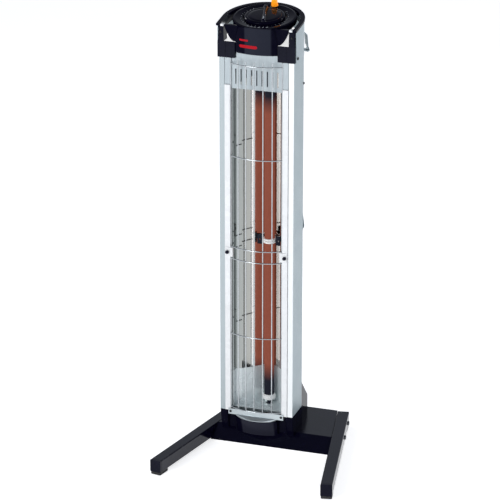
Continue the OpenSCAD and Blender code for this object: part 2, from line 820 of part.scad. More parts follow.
module control_knob() {
  color(BLACK) at_column() at_dial() {
    difference() {
      rotate_extrude($fn = 160) polygon([
        [0, -5], [dial_r, -5], [dial_r, 2.2], [dial_r - 2, 4.2], [dial_r - 7, 5], [0, 5.6]
      ]);
      translate([0, 0, -5.5]) cylinder(r = shaft_r, h = 7.5, $fn = 48);
    }
    rotate([0, 0, grip_angle]) hull() {
      translate([-7, -50, 4]) cube([14, 100, 1]);
      translate([-3.5, -49, 12.5]) cube([7, 98, 1]);
    }
  }
}

module knob_shaft() {
  color(STEEL) at_column() at_dial() translate([0, 0, -23]) cylinder(r = shaft_r - 0.02, h = 25, $fn = 48);
}

module rotary_switch() {
  color(CERAMIC) at_column() at_dial() difference() {
    union() {
      translate([-17, -17, -26]) cube([34, 34, 14]);
      translate([0, 0, -12]) cylinder(r = 4.9, h = 5, $fn = 48);
    }
    translate([0, 0, -23.4]) cylinder(r = shaft_r + 0.05, h = 30, $fn = 48);
  }
}

module at_lamp() { at_dial() translate([lamp_x, lamp_v, 0]) children(); }

module pilot_base() {
  color(BLACK) at_column() at_lamp() rotate_extrude($fn = 64)
    polygon([[0, -10], [8, -10], [8, 1.1], [11, 1.1], [11, 2.2], [9.7, 3.4], [5.2, 3.4], [5.2, -4], [0, -4]]);
}

module pilot_bulb() {
  color(CERAMIC) at_column() at_lamp() rotate_extrude($fn = 48)
    polygon([[0, -3.9], [5, -3.9], [5, 2], [4, 3], [4, 9], [5, 13], [4, 18], [2, 21], [0, 22]]);
}

module pilot_lens() {
  color(AMBER) at_column() at_lamp() rotate_extrude($fn = 96) polygon([
    [7.8, 3.45], [9.2, 3.45], [8.6, 12], [7.4, 24], [5.4, 29], [0, 31],
    [0, 29.6], [4.6, 27.8], [6.2, 23], [7.2, 12]
  ]);
}

module head_screws() {
  post_screw_z = head_z - 22;
  color(BLACK) at_column() {
    for (x = [-1, 1]) translate([x * (half_w + 5.5), 13, col_z1 + 10]) rotate([0, x * 90, 0])
      pan_screw(4.4, 3);
    for (x = [-1, 1]) translate([x * (block_out - 9), -3.8, post_screw_z]) rotate([90, 0, 0])
      pan_screw(3, 2);
  }
}

// Strap bent into a closed wedge-shaped loop, for winding the lead; local +Y points outwards
module cord_hook(outline, width, strap) {
  centre = [6, 25];
  rotate([90, 0, 90]) linear_extrude(width) difference() {
    polygon(outline);
    polygon([for (p = outline) p + strap * (centre - p) / norm(centre - p)]);
  }
}

hook_angle = 55;                            // where the upper hook sits round the head's half circle

module upper_cord_hook() {
  color(SILVER) at_column() translate([0, band_y, col_z1]) rotate([0, 0, -hook_angle])
    translate([-13, half_w + 5.6, 0])
      cord_hook([[0, 57], [10, 47], [13, 14], [17, 4], [12, 0], [0, 4]], 26, 3);
}

module lower_cord_hook() {
  color(SILVER) at_column() translate([66, col_d + 0.05, 590])
    cord_hook([[0, 98], [4, 98], [32, 16], [32, 12], [8, 4], [0, 0]], 29, 3);
}

module terminal_block() {
  color(CERAMIC) at_column() translate([-half_w + sheet + 0.1, 58, 960]) difference() {
    cube([16, 20, 50]);
    for (i = [0:3]) translate([6, 10, 7 + i * 12]) rotate([0, 90, 0]) cylinder(r = 3, h = 20, $fn = 32);
  }
}

// Over-temperature cut-out behind the slotted plate
module thermal_cutout() {
  color(CERAMIC) at_column() translate([-40, 2.5 + sheet + 0.05, col_z1 - 14]) rotate([-90, 0, 0]) {
    cylinder(r = 8, h = 7, $fn = 48);
    translate([-12, -6, 0]) cube([24, 12, 1.2]);
  }
}

// Sleeved wires behind the reflector, from the column's foot up to the control head
module wiring_harness() {
  color(RUBBER) at_column() translate([62, trough_d - 4, col_z0 + 3])
    cylinder(r = 3.4, h = deck_z - col_z0 - 5, $fn = 32);
}

// ---- parts ----

left_leg();
right_leg();
left_leg_front_cap();
right_leg_front_cap();
left_leg_rear_cap();
right_leg_rear_cap();
left_front_foot();
right_front_foot();
left_rear_foot();
right_rear_foot();
leg_bolts();
front_crossbar();
rear_crossbar();
base_cover();
base_bottom_plate();
pedestal();
pedestal_bolts();
skirt();
rear_brace_cover();
cord_gland();
tip_switch_housing();
tip_switch_plunger();
rear_casing();
casing_floor();
left_side_rail();
right_side_rail();
reflector();
lower_reflector();
upper_deflector();
lower_apron();
heater_tube();
upper_tube_holder();
lower_tube_holder();
tube_clip_bracket();
tube_clip_ring();
guard();
guard_clips();
guard_thumb_screws();
trim_screws();
left_corner_block();
right_corner_block();
head_deck();
control_housing();
scale_ring();
control_knob();
knob_shaft();
rotary_switch();
rear_head_cover();
carry_handle();
pilot_base();
pilot_bulb();
pilot_lens();
head_screws();
upper_cord_hook();
lower_cord_hook();
terminal_block();
thermal_cutout();
wiring_harness();
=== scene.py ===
"""Looks for the outdoor radiant heater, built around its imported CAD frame. Units are metres."""

import json
import math

import bmesh
import bpy
from mathutils import Matrix, Vector
from mathutils.bvhtree import BVHTree


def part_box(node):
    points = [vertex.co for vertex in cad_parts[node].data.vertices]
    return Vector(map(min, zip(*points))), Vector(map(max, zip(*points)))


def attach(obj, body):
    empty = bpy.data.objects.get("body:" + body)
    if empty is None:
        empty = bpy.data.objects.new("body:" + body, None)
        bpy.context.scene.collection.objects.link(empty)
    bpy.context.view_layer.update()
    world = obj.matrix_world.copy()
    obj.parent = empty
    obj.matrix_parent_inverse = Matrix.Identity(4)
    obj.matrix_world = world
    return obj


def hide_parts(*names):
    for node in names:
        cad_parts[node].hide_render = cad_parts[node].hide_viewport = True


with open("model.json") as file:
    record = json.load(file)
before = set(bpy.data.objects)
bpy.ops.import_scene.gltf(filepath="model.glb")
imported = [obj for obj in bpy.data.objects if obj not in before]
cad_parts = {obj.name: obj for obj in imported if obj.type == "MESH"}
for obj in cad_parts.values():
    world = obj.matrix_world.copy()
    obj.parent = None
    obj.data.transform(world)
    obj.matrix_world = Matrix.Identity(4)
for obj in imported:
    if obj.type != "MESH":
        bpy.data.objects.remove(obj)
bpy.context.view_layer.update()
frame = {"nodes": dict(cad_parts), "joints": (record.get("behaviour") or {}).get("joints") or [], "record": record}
MM = 0.001

# ---------------------------------------------------------------------------------------------
# Places worked out from the frame
# ---------------------------------------------------------------------------------------------

CASING_LO, CASING_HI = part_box("rear_casing")
COL_X = (CASING_LO.x + CASING_HI.x) / 2
COL_Y = CASING_LO.y
COL_HALF = (CASING_HI.x - CASING_LO.x) / 2
DIAL_JOINT = next(j for j in frame["joints"] if j["name"] == "dial_turn")
DIAL_POS = Vector(DIAL_JOINT["pos_m"])
DIAL_AXIS = Vector(DIAL_JOINT["axis"]).normalized()
HEAD_TILT = math.asin(-DIAL_AXIS.y)
# Frame of the head's tilted top: origin on the dial's axis, Z along it
DIAL_FRAME = Matrix.Translation(DIAL_POS) @ Matrix.Rotation(HEAD_TILT, 4, "X")


def col(x, y, z):
    """A point given in millimetres from the column's front centre line at ground level."""
    return Vector((COL_X + x * MM, COL_Y + y * MM, z * MM))


# ---------------------------------------------------------------------------------------------
# Camera
# ---------------------------------------------------------------------------------------------

VIEW_AZIMUTH = math.radians(18.53)
VIEW_ELEVATION = math.radians(20.62)
VIEW_DISTANCE = 8.037
SENSOR_WIDTH = 36.0
LENS = 216.0
CLIP_END = 60.0
LOOK_AT = col(-34.6, 50.0, 544.5)


def add_camera():
    data = bpy.data.cameras.new("camera")
    data.sensor_width = SENSOR_WIDTH
    data.lens = LENS
    data.clip_end = CLIP_END
    camera = bpy.data.objects.new("camera", data)
    back = Vector((
        math.sin(VIEW_AZIMUTH) * math.cos(VIEW_ELEVATION),
        -math.cos(VIEW_AZIMUTH) * math.cos(VIEW_ELEVATION),
        math.sin(VIEW_ELEVATION),
    ))
    camera.location = LOOK_AT + back * VIEW_DISTANCE
    camera.rotation_euler = back.to_track_quat("Z", "Y").to_euler()
    bpy.context.scene.collection.objects.link(camera)
    bpy.context.scene.camera = camera


add_camera()

# ---------------------------------------------------------------------------------------------
# Materials
# ---------------------------------------------------------------------------------------------


class Nodes:
    """A short way to write one node-based material."""

    def __init__(self, name):
        self.material = bpy.data.materials.new(name)
        self.material.use_nodes = True
        self.tree = self.material.node_tree
        self.shader = self.tree.nodes["Principled BSDF"]
        self.coords = self.tree.nodes.new("ShaderNodeTexCoord").outputs["Object"]

    def add(self, kind, **values):
        node = self.tree.nodes.new(kind)
        for key, value in values.items():
            if hasattr(node, key):
                setattr(node, key, value)
            else:
                node.inputs[key.replace("_", " ")].default_value = value
        return node

    def link(self, output, target):
        self.tree.links.new(output, target)

    def set(self, **values):
        for key, value in values.items():
            self.shader.inputs[key.replace("_", " ")].default_value = value

    def scaled(self, scale):
        mapping = self.add("ShaderNodeMapping")
        mapping.inputs["Scale"].default_value = scale
        self.link(self.coords, mapping.inputs["Vector"])
        return mapping.outputs["Vector"]

    def noise(self, scale, stretch=(1, 1, 1), detail=4.0, roughness=0.55):
        node = self.add("ShaderNodeTexNoise", Scale=scale, Detail=detail, Roughness=roughness)
        self.link(self.scaled(stretch), node.inputs["Vector"])
        return node.outputs["Fac"]

    def ramp(self, factor, stops):
        node = self.add("ShaderNodeValToRGB")
        elements = node.color_ramp.elements
        while len(elements) < len(stops):
            elements.new(0.5)
        for element, (place, colour) in zip(elements, stops):
            element.position = place
            element.color = (*colour[:3], 1.0)
        self.link(factor, node.inputs["Fac"])
        return node.outputs["Color"]

    def remap(self, factor, low, high, start=0.3, end=0.7):
        node = self.add("ShaderNodeMapRange")
        node.inputs["From Min"].default_value = start
        node.inputs["From Max"].default_value = end
        node.inputs["To Min"].default_value = low
        node.inputs["To Max"].default_value = high
        self.link(factor, node.inputs["Value"])
        return node.outputs["Result"]

    def across(self, start, end, axis="X"):
        """How far a point lies between two places on one axis, from 0 to 1."""
        split = self.add("ShaderNodeSeparateXYZ")
        self.link(self.coords, split.inputs["Vector"])
        return self.remap(split.outputs[axis], 0.0, 1.0, start, end)

    def mix(self, factor, colour_a, colour_b):
        node = self.add("ShaderNodeMix", data_type="RGBA")
        self.link(factor, node.inputs["Factor"])
        for place, value in ((6, colour_a), (7, colour_b)):
            if isinstance(value, tuple):
                node.inputs[place].default_value = (*value[:3], 1.0)
            else:
                self.link(value, node.inputs[place])
        return node.outputs[2]

    def colour(self, output):
        self.link(output, self.shader.inputs["Base Color"])

    def roughness(self, output):
        self.link(output, self.shader.inputs["Roughness"])

    def bump(self, height, strength, distance):
        node = self.add("ShaderNodeBump", Strength=strength, Distance=distance)
        self.link(height, node.inputs["Height"])
        self.link(node.outputs["Normal"], self.shader.inputs["Normal"])


def plain_variation(n, base, spread, scale):
    """Base colour that drifts a little in lightness over the surface."""
    dark = tuple(c * (1 - spread) for c in base)
    light = tuple(min(1.0, c * (1 + spread)) for c in base)
    n.colour(n.ramp(n.noise(scale), [(0.3, dark), (0.7, light)]))


def gloss_black_plastic(name, shine):
    n = Nodes(name)
    plain_variation(n, (0.0022, 0.0016, 0.0085), 0.25, 30)
    n.roughness(n.remap(n.noise(60, detail=8), 0.06, 0.13))
    n.set(Specular_IOR_Level=shine, Specular_Tint=(0.80, 0.88, 1.0, 1.0))
    n.bump(n.noise(700, detail=2), 0.10, 0.0002)
    return n.material


# How soft the edges of the painted reflection band are, and the darker colour painted on the flanks beside it as
# painted shade.
REFLECTION_EDGE = 0.01
SHADED_FLANK = (0.0012, 0.0009, 0.0070)


def black_plastic_with_painted_reflection(name, start, end, reflection_colour):
    """Black moulding with a painted reflection: a paler band from start to end, in mm from the column's middle,
    with the flanks beside it painted darker as painted shade.
    """
    n = Nodes(name)
    start, end = (0.5 + place * MM / (COL_HALF * 2) for place in (start, end))
    # Painted reflection across the middle, painted shade on the flanks.
    panel_reflection_paint = n.ramp(n.across(CASING_LO.x, CASING_HI.x), [
        (start - REFLECTION_EDGE, SHADED_FLANK), (start + REFLECTION_EDGE, reflection_colour),
        (end - REFLECTION_EDGE, reflection_colour), (end + REFLECTION_EDGE, SHADED_FLANK),
    ])
    n.colour(n.mix(n.remap(n.noise(40), 0.0, 0.12), panel_reflection_paint, (0.02, 0.02, 0.03)))
    n.roughness(n.remap(n.noise(70, detail=8), 0.08, 0.16))
    n.set(Specular_IOR_Level=0.03, Specular_Tint=(0.80, 0.88, 1.0, 1.0))
    n.bump(n.noise(900, detail=2), 0.10, 0.0002)
    return n.material


def black_powder_coat():
    n = Nodes("black_powder_coat")
    plain_variation(n, (0.0022, 0.0017, 0.009), 0.2, 12)
    n.roughness(n.remap(n.noise(25, detail=10), 0.12, 0.20))
    n.set(Specular_IOR_Level=0.2, Specular_Tint=(0.80, 0.90, 1.0, 1.0))
    n.bump(n.noise(480, detail=3), 0.16, 0.0003)
    return n.material


def silver_paint():
    """Metallic paint on the sheet metal, with painted light on the casing's front flanges: they are painted paler,
    darker on the left and brightest on the right.
    """
    n = Nodes("silver_paint")
    fleck = n.noise(2600, detail=1)
    paint = n.ramp(fleck, [(0.35, (0.30, 0.365, 0.39)), (0.65, (0.38, 0.45, 0.48))])
    # Painted light: the front faces are painted paler, darker on the left and brightest on the right.
    flange = n.across(col(0, 1.5, 0).y, col(0, 0.5, 0).y, "Y")
    front = n.ramp(n.across(col(-60, 0, 0).x, col(60, 0, 0).x),
                   [(0.3, (0.40, 0.455, 0.475)), (0.7, (0.80, 0.825, 0.835))])
    n.colour(n.mix(flange, paint, front))
    n.roughness(n.remap(n.noise(18, detail=9), 0.36, 0.47))
    n.set(Metallic=0.35, Specular_IOR_Level=0.5)
    n.bump(n.noise(900, detail=4), 0.12, 0.0002)
    return n.material


def satin_aluminium():
    n = Nodes("satin_aluminium")
    grain = n.noise(30, stretch=(1, 1, 60), detail=6)
    n.colour(n.ramp(grain, [(0.3, (0.42, 0.47, 0.49)), (0.7, (0.51, 0.56, 0.58))]))
    n.roughness(n.remap(n.noise(22, detail=7), 0.26, 0.38))
    n.set(Metallic=0.75)
    n.bump(grain, 0.06, 0.0002)
    return n.material


def white_enamel():
    n = Nodes("white_enamel")
    plain_variation(n, (0.76, 0.775, 0.785), 0.04, 14)
    n.roughness(n.remap(n.noise(40, detail=6), 0.22, 0.34))
    n.set(Coat_Weight=0.3, Coat_Roughness=0.1)
    n.bump(n.noise(500, detail=3), 0.08, 0.0002)
    return n.material


def polished_reflector():
    n = Nodes("polished_reflector")
    rolled = n.noise(34, stretch=(60, 60, 0.6), detail=5)
    # Painted reflection: the colour is set by place across the column, darker on the left, bright just left of the
    # middle and mid grey on the right.
    across = n.across(col(-70, 0, 0).x, col(70, 0, 0).x)
    trough_reflection_paint = n.ramp(across, [
        (0.0, (0.27, 0.30, 0.30)), (0.26, (0.36, 0.36, 0.335)), (0.29, (0.97, 0.95, 0.93)),
        (0.50, (0.97, 0.95, 0.93)), (0.62, (0.53, 0.51, 0.49)), (1.0, (0.53, 0.51, 0.49)),
    ])
    n.colour(n.mix(n.remap(rolled, 0.0, 0.10), trough_reflection_paint, (0.8, 0.79, 0.76)))
    n.roughness(n.remap(n.noise(12, stretch=(8, 8, 0.5), detail=6), 0.03, 0.07))
    n.set(Metallic=1.0)
    n.bump(n.noise(5, stretch=(3, 3, 0.6), detail=1), 0.05, 0.0005)
    return n.material


def lower_polished():
    n = Nodes("lower_polished")
    n.colour(n.ramp(n.noise(16, stretch=(6, 6, 1)),
                    [(0.3, (0.64, 0.71, 0.725)), (0.7, (0.74, 0.80, 0.81))]))
    n.roughness(n.remap(n.noise(25, detail=6), 0.20, 0.30))
    n.set(Metallic=0.3)
    n.bump(n.noise(30, stretch=(1, 1, 0.3), detail=2), 0.08, 0.001)
    return n.material


def chrome_wire():
    n = Nodes("chrome_wire")
    plain_variation(n, (0.50, 0.53, 0.55), 0.08, 60)
    n.roughness(n.remap(n.noise(90, detail=6), 0.10, 0.22))
    n.set(Metallic=1.0)
    n.bump(n.noise(800, detail=2), 0.06, 0.0001)
    return n.material


def zinc_steel():
    n = Nodes("zinc_steel")
    spangle = n.add("ShaderNodeTexVoronoi", Scale=220.0)
    n.link(n.scaled((1, 1, 1)), spangle.inputs["Vector"])
    n.colour(n.ramp(spangle.outputs["Distance"],
                    [(0.1, (0.50, 0.51, 0.52)), (0.8, (0.66, 0.67, 0.67))]))
    n.roughness(n.remap(n.noise(50, detail=6), 0.28, 0.45))
    n.set(Metallic=0.9)
    n.bump(n.noise(300, detail=4), 0.08, 0.0003)
    return n.material


def black_screw_finish():
    n = Nodes("black_screw_finish")
    plain_variation(n, (0.012, 0.012, 0.014), 0.3, 300)
    n.roughness(n.remap(n.noise(400, detail=4), 0.25, 0.4))
    n.set(Metallic=0.5)
    n.bump(n.noise(1500, detail=2), 0.1, 0.0001)
    return n.material


def rubber():
    n = Nodes("rubber")
    plain_variation(n, (0.020, 0.020, 0.021), 0.3, 60)
    n.roughness(n.remap(n.noise(140, detail=8), 0.62, 0.82))
    n.bump(n.noise(1200, detail=5), 0.3, 0.0004)
    return n.material


def white_ceramic():
    n = Nodes("white_ceramic")
    plain_variation(n, (0.90, 0.90, 0.89), 0.05, 90)
    n.roughness(n.remap(n.noise(160, detail=6), 0.35, 0.55))
    n.bump(n.noise(1400, detail=5), 0.2, 0.0003)
    return n.material


def switch_plastic():
    n = Nodes("switch_plastic")
    plain_variation(n, (0.66, 0.64, 0.57), 0.06, 60)
    n.roughness(n.remap(n.noise(120, detail=6), 0.40, 0.55))
    n.bump(n.noise(1200, detail=4), 0.15, 0.0003)
    return n.material


# Strengths of the small emission that stands for the studio's light on these surfaces
TUBE_GLOW = 2.6
LENS_GLOW = 0.28
DECK_GLOW = 0.7
FLOOR_GLOW = 0.72
# Heights of the coat's two fades, as parts of the tube's length
COAT_FADE_LOW = (0.075, 0.125)
COAT_FADE_HIGH = (0.845, 0.895)


def tube_coating():
    """Red-brown ceramic coat that fades to bare dark metal at both ends of the tube."""
    n = Nodes("tube_coating")
    low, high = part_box("heater_tube")
    bare, coat, worn_coat = (0.003, 0.0033, 0.006), (0.078, 0.0215, 0.0135), (0.070, 0.0195, 0.012)
    cover = n.ramp(n.across(low.z, high.z, "Z"), [
        (COAT_FADE_LOW[0], (0, 0, 0)), (COAT_FADE_LOW[1], (1, 1, 1)),
        (COAT_FADE_HIGH[0], (1, 1, 1)), (COAT_FADE_HIGH[1], (0, 0, 0)),
    ])
    coated = n.mix(cover, bare, n.ramp(n.noise(160, detail=6), [(0.3, worn_coat), (0.7, coat)]))
    n.colour(coated)
    n.link(coated, n.shader.inputs["Emission Color"])
    n.set(Emission_Strength=TUBE_GLOW, Specular_IOR_Level=0.1)
    n.roughness(n.remap(n.noise(220, detail=8), 0.55, 0.75))
    n.bump(n.noise(900, detail=6), 0.25, 0.0004)
    return n.material


def amber_lens():
    n = Nodes("amber_lens")
    n.colour(n.ramp(n.noise(120, detail=3), [(0.3, (1.0, 0.42, 0.01)), (0.7, (1.0, 0.56, 0.03))]))
    n.roughness(n.remap(n.noise(200), 0.06, 0.14))
    n.set(Transmission_Weight=0.45, IOR=1.49, Coat_Weight=0.4,
          Emission_Color=(1.0, 0.42, 0.02, 1.0), Emission_Strength=LENS_GLOW)
    n.bump(n.noise(150), 0.05, 0.0002)
    return n.material


def lamp_glass():
    n = Nodes("lamp_glass")
    n.colour(n.ramp(n.noise(200), [(0.3, (0.95, 0.80, 0.55)), (0.7, (1.0, 0.90, 0.70))]))
    n.roughness(n.remap(n.noise(200), 0.04, 0.1))
    n.set(Transmission_Weight=0.7, IOR=1.45)
    return n.material


def print_red():
    n = Nodes("print_red")
    plain_variation(n, (0.40, 0.002, 0.010), 0.1, 200)
    n.roughness(n.remap(n.noise(200), 0.3, 0.45))
    n.set(Specular_IOR_Level=0.1)
    return n.material


def print_grey():
    n = Nodes("print_grey")
    plain_variation(n, (0.42, 0.45, 0.48), 0.1, 300)
    n.roughness(n.remap(n.noise(200), 0.35, 0.5))
    return n.material


def dark_steel():
    n = Nodes("dark_steel")
    plain_variation(n, (0.10, 0.105, 0.115), 0.2, 200)
    n.roughness(n.remap(n.noise(300), 0.3, 0.45))
    n.set(Metallic=0.85)
    n.bump(n.noise(900), 0.1, 0.0002)
    return n.material


def deflector_steel():
    n = Nodes("deflector_steel")
    grain = n.noise(40, stretch=(30, 1, 1), detail=6)
    n.colour(n.ramp(grain, [(0.3, (0.34, 0.39, 0.415)), (0.7, (0.42, 0.47, 0.495))]))
    n.roughness(n.remap(n.noise(22, detail=7), 0.34, 0.46))
    n.set(Metallic=0.5)
    n.bump(grain, 0.04, 0.0002)
    return n.material


def white_deck():
    """White moulding with a little emission: painted light that keeps it bright where it lies in shade."""
    n = Nodes("white_deck")
    plain_variation(n, (0.86, 0.86, 0.86), 0.03, 20)
    n.roughness(n.remap(n.noise(60), 0.3, 0.45))
    n.set(Emission_Color=(1, 1, 1, 1), Emission_Strength=DECK_GLOW)
    n.bump(n.noise(600), 0.06, 0.0002)
    return n.material


MATERIALS = {
    "white_deck": white_deck(),
    "deflector_steel": deflector_steel(),
    "black_plastic": gloss_black_plastic("gloss_black_plastic", 0.13),
    "deep_black_plastic": gloss_black_plastic("deep_black_plastic", 0.06),
    "black_paint": black_powder_coat(),
    # The front panel and the skirt carry a painted reflection band, with painted shade on their flanks.
    "panel_painted_reflection": black_plastic_with_painted_reflection("panel_painted_reflection", -29, 42, (0.018, 0.020, 0.031)),
    "skirt_painted_reflection": black_plastic_with_painted_reflection("skirt_painted_reflection", -40, 50, (0.018, 0.0185, 0.029)),
    "rubber": rubber(),
    "plated_steel": zinc_steel(),
    "black_screws": black_screw_finish(),
    "silver_paint": silver_paint(),
    "satin_steel": satin_aluminium(),
    "white_trim": white_enamel(),
    "polished_reflector": polished_reflector(),
    "chrome_wire": chrome_wire(),
    "tube_coating": tube_coating(),
    "white_ceramic": white_ceramic(),
    "switch_plastic": switch_plastic(),
    "amber_lens": amber_lens(),
    "lamp_glass": lamp_glass(),
    "lower_polished": lower_polished(),
    "print_red": print_red(),
    "print_grey": print_grey(),
    "dark_steel": dark_steel(),
}
# Nodes whose finish differs from their slot's usual one
NODE_FINISH = {
    "lower_reflector": "lower_polished", "upper_deflector": "deflector_steel",
    "head_deck": "white_deck", "control_housing": "panel_painted_reflection", "skirt": "skirt_painted_reflection",
    "scale_ring": "deep_black_plastic", "carry_handle": "deep_black_plastic",
}

# Edge radii in millimetres, where they differ from EDGE_RADIUS
BEVEL_WIDTH = {
    "guard": 0.05, "rear_casing": 0.3, "reflector": 0.1, "lower_reflector": 0.1,
    "left_corner_block": 1.5, "right_corner_block": 1.5, "base_cover": 1.0,
    "left_front_foot": 1.2, "right_front_foot": 1.2,
    "left_rear_foot": 1.2, "right_rear_foot": 1.2,
    "left_leg_front_cap": 2.4, "right_leg_front_cap": 2.4,
    "skirt": 1.6, "control_housing": 1.8, "carry_handle": 1.0,
}
EDGE_RADIUS = 0.4
EDGE_ANGLE = math.radians(40)
SMOOTH_ANGLE = math.radians(35)


def finish_cad_nodes():
    """Gives every CAD node its slot's detailed material, soft edges and smooth curves."""
    slots = {s["node"]: s["material_slot"] for s in frame["record"]["subparts"]}
    for name, obj in frame["nodes"].items():
        material = MATERIALS[NODE_FINISH.get(name, slots[name])]
        obj.data.materials.clear()
        obj.data.materials.append(material)
        bevel = obj.modifiers.new("soft_edges", "BEVEL")
        bevel.width = BEVEL_WIDTH.get(name, EDGE_RADIUS) * MM
        bevel.segments = 2
        bevel.limit_method = "ANGLE"
        bevel.angle_limit = EDGE_ANGLE
        with bpy.context.temp_override(object=obj, active_object=obj, selected_objects=[obj],
                                       selected_editable_objects=[obj]):
            bpy.ops.object.shade_smooth_by_angle(angle=SMOOTH_ANGLE)


finish_cad_nodes()

# ---------------------------------------------------------------------------------------------
# Mesh helpers
# ---------------------------------------------------------------------------------------------

SHARP_ANGLE = math.radians(38)


def add_piece(name, bm, finish, body="heater", stands_for=()):
    """Turns a bmesh into a finished piece that rides on a body."""
    bmesh.ops.remove_doubles(bm, verts=bm.verts, dist=1e-7)
    bmesh.ops.recalc_face_normals(bm, faces=bm.faces)
    for face in bm.faces:
        face.smooth = True
    for edge in bm.edges:
        edge.smooth = len(edge.link_faces) == 2 and edge.calc_face_angle(0.0) < SHARP_ANGLE
    mesh = bpy.data.meshes.new(name)
    bm.to_mesh(mesh)
    bm.free()
    mesh.materials.append(MATERIALS[finish])
    piece = bpy.data.objects.new(name, mesh)
    bpy.context.scene.collection.objects.link(piece)
    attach(piece, body)
    if stands_for:
        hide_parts(*stands_for)


def islands(node):
    """Boxes (low, high) of a node's separate solids, in order of their low corners."""
    mesh = frame["nodes"][node].data
    keys = [tuple(round(c * 1e5) for c in v.co) for v in mesh.vertices]
    parent = {k: k for k in keys}

    def root(k):
        while parent[k] != k:
            parent[k] = parent[parent[k]]
            k = parent[k]
        return k

    for face in mesh.polygons:
        first = root(keys[face.vertices[0]])
        for i in face.vertices[1:]:
            parent[root(keys[i])] = first
    groups = {}
    for key, vertex in zip(keys, mesh.vertices):
        groups.setdefault(root(key), []).append(vertex.co)
    boxes = []
    for points in groups.values():
        low = Vector([min(p[i] for p in points) for i in range(3)])
        high = Vector([max(p[i] for p in points) for i in range(3)])
        boxes.append((low, high))
    return sorted(boxes, key=lambda b: tuple(b[0]))


def lathe(bm, profile, place, segments=64, wave=None, press=None):
    """Revolves (radius, height) points, in mm, about the Z axis of place."""
    rings = []
    for radius, height in profile:
        if radius < 1e-6:
            rings.append([bm.verts.new(place @ Vector((0, 0, height * MM)))])
            continue
        ring = []
        for k in range(segments):
            angle = 2 * math.pi * k / segments
            r = radius * (wave(angle, radius, height) if wave else 1.0)
            z = height + (press(angle, radius, height) if press else 0.0)
            point = Vector((r * math.cos(angle), r * math.sin(angle), z)) * MM
            ring.append(bm.verts.new(place @ point))
        rings.append(ring)
    for low, high in zip(rings, rings[1:]):
        for k in range(segments):
            n = (k + 1) % segments
            if len(low) == 1 and len(high) == 1:
                continue
            if len(low) == 1:
                bm.faces.new((low[0], high[k], high[n]))
            elif len(high) == 1:
                bm.faces.new((low[k], low[n], high[0]))
            else:
                bm.faces.new((low[k], low[n], high[n], high[k]))


def loft(bm, sections, place):
    """Joins closed sections, lists of (x, y, z) in mm, and closes both ends."""
    rings = [[bm.verts.new(place @ (Vector(p) * MM)) for p in section] for section in sections]
    count = len(rings[0])
    for low, high in zip(rings, rings[1:]):
        for k in range(count):
            n = (k + 1) % count
            bm.faces.new((low[k], low[n], high[n], high[k]))
    bm.faces.new(list(reversed(rings[0])))
    bm.faces.new(rings[-1])


def axis_place(origin, axis):
    """A frame at origin whose Z axis is axis, which isn't upright."""
    z = Vector(axis).normalized()
    x = Vector((0, 0, 1)).cross(z).normalized()
    turn = Matrix((x, z.cross(x), z)).transposed().to_4x4()
    return Matrix.Translation(origin) @ turn


def cross_recess(size, depth):
    """How far a screw head's top sinks in a cross-shaped recess."""
    def sink(angle, radius, height):
        x = abs(radius * math.cos(angle))
        y = abs(radius * math.sin(angle))
        arm = min(x, y) < 0.17 * size and max(x, y) < size
        return -depth * (1 - max(x, y) / size * 0.6) if arm and height > 0 else 0.0
    return sink


def pan_head(bm, place, radius, height):
    """A domed screw head with a cross recess."""
    profile = [(0, -0.05), (radius * 0.96, -0.05), (radius, height * 0.2), (radius, height * 0.45)]
    profile += [(radius * math.cos(t), height * (0.45 + 0.55 * math.sin(t)))
                for t in (math.radians(a) for a in range(15, 90, 12))]
    profile += [(radius * k, height) for k in (0.14, 0.07)] + [(0, height)]
    dense = []
    for a, b in zip(profile, profile[1:]):
        dense.append(a)
        if abs(a[0] - b[0]) > radius * 0.12 and a[1] > 0:
            dense += [(a[0] + (b[0] - a[0]) * k / 4, a[1] + (b[1] - a[1]) * k / 4)
                      for k in (1, 2, 3)]
    dense.append(profile[-1])
    sink = cross_recess(radius * 0.62, height * 0.55)
    lathe(bm, dense, place, 48, press=lambda a, r, z: sink(a, r, z) if z > height * 0.5 else 0.0)


def rounded_section(half_x, half_y, radius, z, steps=5):
    """A rounded rectangle at height z, in mm."""
    points = []
    for sx, sy, start in ((1, 1, 0), (-1, 1, 90), (-1, -1, 180), (1, -1, 270)):
        for k in range(steps + 1):
            t = math.radians(start + 90 * k / steps)
            points.append((sx * (half_x - radius) + radius * math.cos(t),
                           sy * (half_y - radius) + radius * math.sin(t), z))
    return points


# ---------------------------------------------------------------------------------------------
# The dial
# ---------------------------------------------------------------------------------------------

DIAL_TOP = 4.6
# The dial's points above this height, in mm, belong to its grip
GRIP_ABOVE = 9


def dial_points():
    inverse = DIAL_FRAME.inverted()
    return [inverse @ v.co / MM for v in frame["nodes"]["control_knob"].data.vertices]


def grip_angle():
    """Angle of the grip's rear end about the dial's axis."""
    high = [p for p in dial_points() if p.z > GRIP_ABOVE]
    rear = max(high, key=lambda p: p.y)
    front = min(high, key=lambda p: p.y)
    return math.atan2(rear.y - front.y, rear.x - front.x) - math.pi / 2


DIAL_R = max(math.hypot(p.x, p.y) for p in dial_points())
GRIP_TURN = Matrix.Rotation(grip_angle(), 4, "Z")


